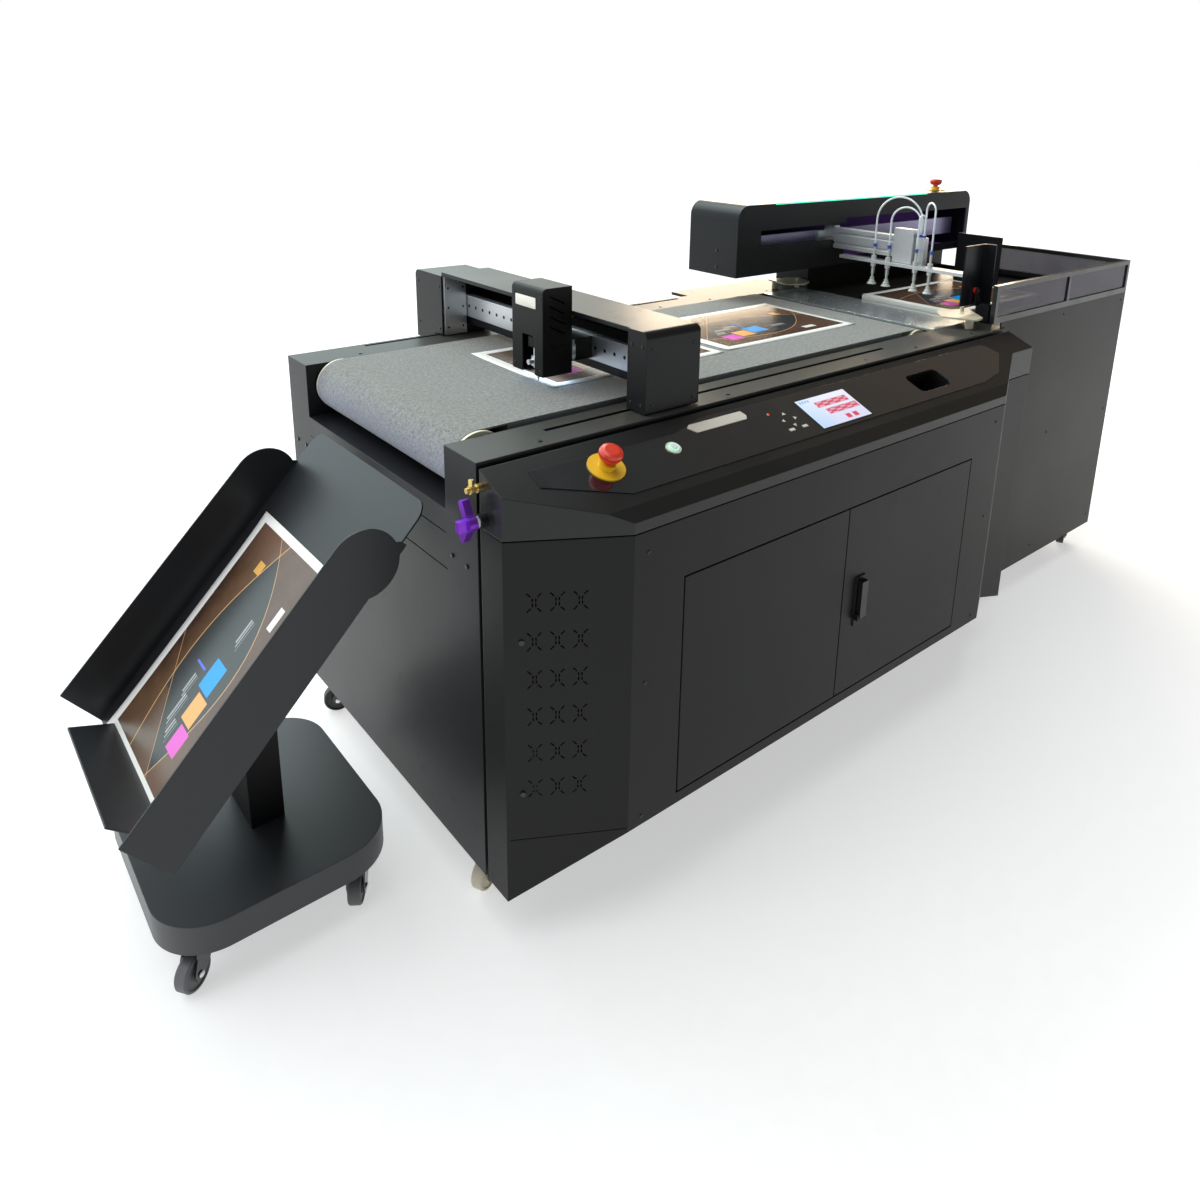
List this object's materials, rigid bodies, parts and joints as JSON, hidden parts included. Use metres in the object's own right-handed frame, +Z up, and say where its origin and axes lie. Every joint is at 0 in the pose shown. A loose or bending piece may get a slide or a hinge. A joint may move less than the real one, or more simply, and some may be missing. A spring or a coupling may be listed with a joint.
{
  "type": "flatbed digital cutter with sheet feeder",
  "caption": "Felt-belt flatbed cutting machine with gantry head, suction sheet feeder and a wheeled sloping catch tray.",
  "frame": {"origin": "on the floor under the middle of the whole object's box", "axes": "+X along the belt from the catch tray to the feeder, +Y from the operator's side to the back, +Z up"},
  "size_m": [2.8438, 1.042, 1.151],
  "materials": {
    "black_paint": "fine satin powder coat",
    "frame_paint": "fine satin powder coat",
    "console_paint": "satin powder coat",
    "gloss_black": "polished acrylic",
    "screen_glass": "lit display behind glass",
    "trim_silver": "brushed",
    "yellow_plastic": "moulded",
    "brass": "turned",
    "table_alu": "milled",
    "felt": "mottled wool felt",
    "rail_steel": "ground",
    "smoked_acrylic": "smoked",
    "rim_black": "satin",
    "led_green": "lit diffuser",
    "plate_alu": "clear anodised",
    "screw_steel": "black oxide",
    "roller_cream": "moulded",
    "chrome": "polished",
    "red_plastic": "moulded",
    "green_lens": "lit lens",
    "purple_anodised": "purple anodised",
    "alu_profile": "clear anodised",
    "tube_clear": "milky polyurethane",
    "cup_silicone": "silicone on plated stems",
    "table_paint": "satin",
    "paper": "coated paper",
    "guide_paint": "satin",
    "beige_plate": "pearl anodised",
    "handle_black": "moulded",
    "tyre_light": "nylon tread",
    "tyre_grey": "polyurethane tread",
    "fork_black": "gloss enamel"
  },
  "bodies": {
    "machine": {"machine_frame": "frame_paint", "front_shell": "black_paint", "console_shell": "console_paint", "console_inlay": "gloss_black", "display": "screen_glass", "console_trim": "trim_silver", "stop_rings": "yellow_plastic", "air_fittings": "brass", "vacuum_table": "table_alu", "felt_belt": "felt", "linear_rails": "rail_steel", "feeder_cabinet": "black_paint", "guard_panels": "smoked_acrylic", "guard_rim": "rim_black", "rear_housing": "frame_paint", "led_strip": "led_green", "transfer_plate": "plate_alu", "screws": "screw_steel"},
    "gantry": {"gantry": "frame_paint"},
    "head": {"carriage": "black_paint"},
    "tool": {"tool_holder": "chrome"},
    "exit_roller": {"exit_roller": "roller_cream"},
    "feed_roller": {"feed_roller": "roller_cream"},
    "left_door": {"left_door": "black_paint"},
    "right_door": {"right_door": "black_paint"},
    "door_handle": {"door_handle": "handle_black"},
    "front_stop": {"front_stop_button": "red_plastic"},
    "rear_stop": {"rear_stop_button": "red_plastic"},
    "power_button": {"power_button": "green_lens"},
    "valve_lever": {"valve_lever": "purple_anodised"},
    "pick_arm": {"pick_arm": "alu_profile"},
    "pick_head": {"lift_bar": "alu_profile", "air_tubes": "tube_clear", "suction_cups": "cup_silicone"},
    "stack_table": {"stack_table": "table_paint", "sheet_stack": "paper"},
    "side_guide": {"side_guide": "guide_paint"},
    "tail_stop": {"tail_stop": "guide_paint"},
    "clamp_handle": {"clamp_handle": "red_plastic"},
    "near_paddle": {"near_paddle": "beige_plate"},
    "far_paddle": {"far_paddle": "beige_plate"},
    "trolley": {"trolley_base": "black_paint", "trolley_post": "black_paint", "catch_tray": "frame_paint"},
    "fork_exit_near": {"fork_exit_near": "fork_black"},
    "wheel_exit_near": {"wheel_exit_near": "tyre_light"},
    "fork_exit_far": {"fork_exit_far": "fork_black"},
    "wheel_exit_far": {"wheel_exit_far": "tyre_grey"},
    "fork_feed_near": {"fork_feed_near": "fork_black"},
    "wheel_feed_near": {"wheel_feed_near": "tyre_grey"},
    "fork_feed_far": {"fork_feed_far": "fork_black"},
    "wheel_feed_far": {"wheel_feed_far": "tyre_grey"},
    "fork_tray_a": {"fork_tray_a": "fork_black"},
    "wheel_tray_a": {"wheel_tray_a": "tyre_grey"},
    "fork_tray_b": {"fork_tray_b": "fork_black"},
    "wheel_tray_b": {"wheel_tray_b": "tyre_grey"},
    "fork_tray_c": {"fork_tray_c": "fork_black"},
    "wheel_tray_c": {"wheel_tray_c": "tyre_grey"},
    "fork_tray_d": {"fork_tray_d": "fork_black"},
    "wheel_tray_d": {"wheel_tray_d": "tyre_grey"}
  },
  "joints": [
    {"name": "gantry_slide", "type": "slide", "parent": "machine", "child": "gantry", "axis": [1, 0, 0], "range_m": [-0.183, 0.633]},
    {"name": "head_slide", "type": "slide", "parent": "gantry", "child": "head", "axis": [0, 1, 0], "range_m": [-0.163, 0.391]},
    {"name": "tool_slide", "type": "slide", "parent": "head", "child": "tool", "axis": [0, 0, 1], "range_m": [-0.0035, 0.014]},
    {"name": "exit_roller_spin", "type": "hinge", "parent": "machine", "child": "exit_roller", "pos_m": [-0.84109, 0.0475, 0.793], "axis": [0, 1, 0], "continuous": true},
    {"name": "feed_roller_spin", "type": "hinge", "parent": "machine", "child": "feed_roller", "pos_m": [0.40891, 0.0475, 0.793], "axis": [0, 1, 0], "continuous": true},
    {"name": "left_door_hinge", "type": "hinge", "parent": "machine", "child": "left_door", "pos_m": [-0.62459, -0.5015, 0.426], "axis": [0, 0, -1], "range_deg": [0, 100]},
    {"name": "right_door_hinge", "type": "hinge", "parent": "machine", "child": "right_door", "pos_m": [0.22541, -0.5015, 0.426], "axis": [0, 0, 1], "range_deg": [0, 100]},
    {"name": "handle_hinge", "type": "hinge", "parent": "right_door", "child": "door_handle", "pos_m": [-0.14559, -0.514, 0.389], "axis": [1, 0, 0], "range_deg": [0, 35]},
    {"name": "front_stop_press", "type": "slide", "parent": "machine", "child": "front_stop", "axis": [0, -0.3875, 0.9219], "range_m": [-0.005, 0], "stiffness_N_per_m": 3000},
    {"name": "rear_stop_press", "type": "slide", "parent": "machine", "child": "rear_stop", "axis": [0, 0, 1], "range_m": [-0.005, 0], "stiffness_N_per_m": 3000},
    {"name": "power_press", "type": "slide", "parent": "machine", "child": "power_button", "axis": [0, -0.3875, 0.9219], "range_m": [-0.0025, 0], "stiffness_N_per_m": 1500},
    {"name": "valve_turn", "type": "hinge", "parent": "machine", "child": "valve_lever", "pos_m": [-0.93009, -0.36, 0.757], "axis": [1, 0, 0], "range_deg": [0, 90]},
    {"name": "arm_slide", "type": "slide", "parent": "machine", "child": "pick_arm", "axis": [1, 0, 0], "range_m": [-0.3, 0.09]},
    {"name": "lift_slide", "type": "slide", "parent": "pick_arm", "child": "pick_head", "axis": [0, 0, 1], "range_m": [-0.033, 0]},
    {"name": "table_lift", "type": "slide", "parent": "machine", "child": "stack_table", "axis": [0, 0, 1], "range_m": [-0.4, 0]},
    {"name": "side_guide_slide", "type": "slide", "parent": "machine", "child": "side_guide", "axis": [0, 1, 0], "range_m": [-0.02, 0.03]},
    {"name": "tail_stop_slide", "type": "slide", "parent": "machine", "child": "tail_stop", "axis": [1, 0, 0], "range_m": [0, 0.12]},
    {"name": "clamp_turn", "type": "hinge", "parent": "side_guide", "child": "clamp_handle", "pos_m": [0.63491, -0.245, 0.924], "axis": [0, -1, 0], "range_deg": [0, 90]},
    {"name": "near_paddle_swing", "type": "hinge", "parent": "machine", "child": "near_paddle", "pos_m": [0.55191, -0.284, 0.865], "axis": [0, 0, 1], "range_deg": [0, 60]},
    {"name": "far_paddle_swing", "type": "hinge", "parent": "machine", "child": "far_paddle", "pos_m": [0.55191, 0.364, 0.865], "axis": [0, 0, 1], "range_deg": [-60, 0]},
    {"name": "trolley_roll", "type": "slide", "parent": "machine", "child": "trolley", "axis": [-1, 0, 0], "range_m": [0, 0.35]},
    {"name": "swivel_exit_near", "type": "hinge", "parent": "machine", "child": "fork_exit_near", "pos_m": [-0.86009, -0.27, 0.079], "axis": [0, 0, 1], "continuous": true},
    {"name": "spin_exit_near", "type": "hinge", "parent": "fork_exit_near", "child": "wheel_exit_near", "pos_m": [-0.87822, -0.27845, 0.03], "axis": [0.4226, -0.9063, 0], "continuous": true},
    {"name": "swivel_exit_far", "type": "hinge", "parent": "machine", "child": "fork_exit_far", "pos_m": [-0.86009, 0.365, 0.079], "axis": [0, 0, 1], "continuous": true},
    {"name": "spin_exit_far", "type": "hinge", "parent": "fork_exit_far", "child": "wheel_exit_far", "pos_m": [-0.87888, 0.37184, 0.03], "axis": [-0.342, -0.9397, 0], "continuous": true},
    {"name": "swivel_feed_near", "type": "hinge", "parent": "machine", "child": "fork_feed_near", "pos_m": [1.32191, -0.266, 0.079], "axis": [0, 0, 1], "continuous": true},
    {"name": "spin_feed_near", "type": "hinge", "parent": "fork_feed_near", "child": "wheel_feed_near", "pos_m": [1.3407, -0.25916, 0.03], "axis": [-0.342, 0.9397, 0], "continuous": true},
    {"name": "swivel_feed_far", "type": "hinge", "parent": "machine", "child": "fork_feed_far", "pos_m": [1.32191, 0.365, 0.079], "axis": [0, 0, 1], "continuous": true},
    {"name": "spin_feed_far", "type": "hinge", "parent": "fork_feed_far", "child": "wheel_feed_far", "pos_m": [1.33923, 0.355, 0.03], "axis": [0.5, 0.866, 0], "continuous": true},
    {"name": "swivel_tray_a", "type": "hinge", "parent": "trolley", "child": "fork_tray_a", "pos_m": [-1.32309, -0.149, 0.079], "axis": [0, 0, 1], "continuous": true},
    {"name": "spin_tray_a", "type": "hinge", "parent": "fork_tray_a", "child": "wheel_tray_a", "pos_m": [-1.33947, -0.16047, 0.03], "axis": [0.5736, -0.8192, 0], "continuous": true},
    {"name": "swivel_tray_b", "type": "hinge", "parent": "trolley", "child": "fork_tray_b", "pos_m": [-1.32309, 0.177, 0.079], "axis": [0, 0, 1], "continuous": true},
    {"name": "spin_tray_b", "type": "hinge", "parent": "fork_tray_b", "child": "wheel_tray_b", "pos_m": [-1.34041, 0.187, 0.03], "axis": [-0.5, -0.866, 0], "continuous": true},
    {"name": "swivel_tray_c", "type": "hinge", "parent": "trolley", "child": "fork_tray_c", "pos_m": [-1.05809, -0.149, 0.079], "axis": [0, 0, 1], "continuous": true},
    {"name": "spin_tray_c", "type": "hinge", "parent": "fork_tray_c", "child": "wheel_tray_c", "pos_m": [-1.06956, -0.16538, 0.03], "axis": [0.8192, -0.5736, 0], "continuous": true},
    {"name": "swivel_tray_d", "type": "hinge", "parent": "trolley", "child": "fork_tray_d", "pos_m": [-1.05809, 0.177, 0.079], "axis": [0, 0, 1], "continuous": true},
    {"name": "spin_tray_d", "type": "hinge", "parent": "fork_tray_d", "child": "wheel_tray_d", "pos_m": [-1.04077, 0.187, 0.03], "axis": [-0.5, 0.866, 0], "continuous": true}
  ],
  "couplings": [
    {"joint": "feed_roller_spin", "follows": "exit_roller_spin", "ratio": 1}
  ]
}
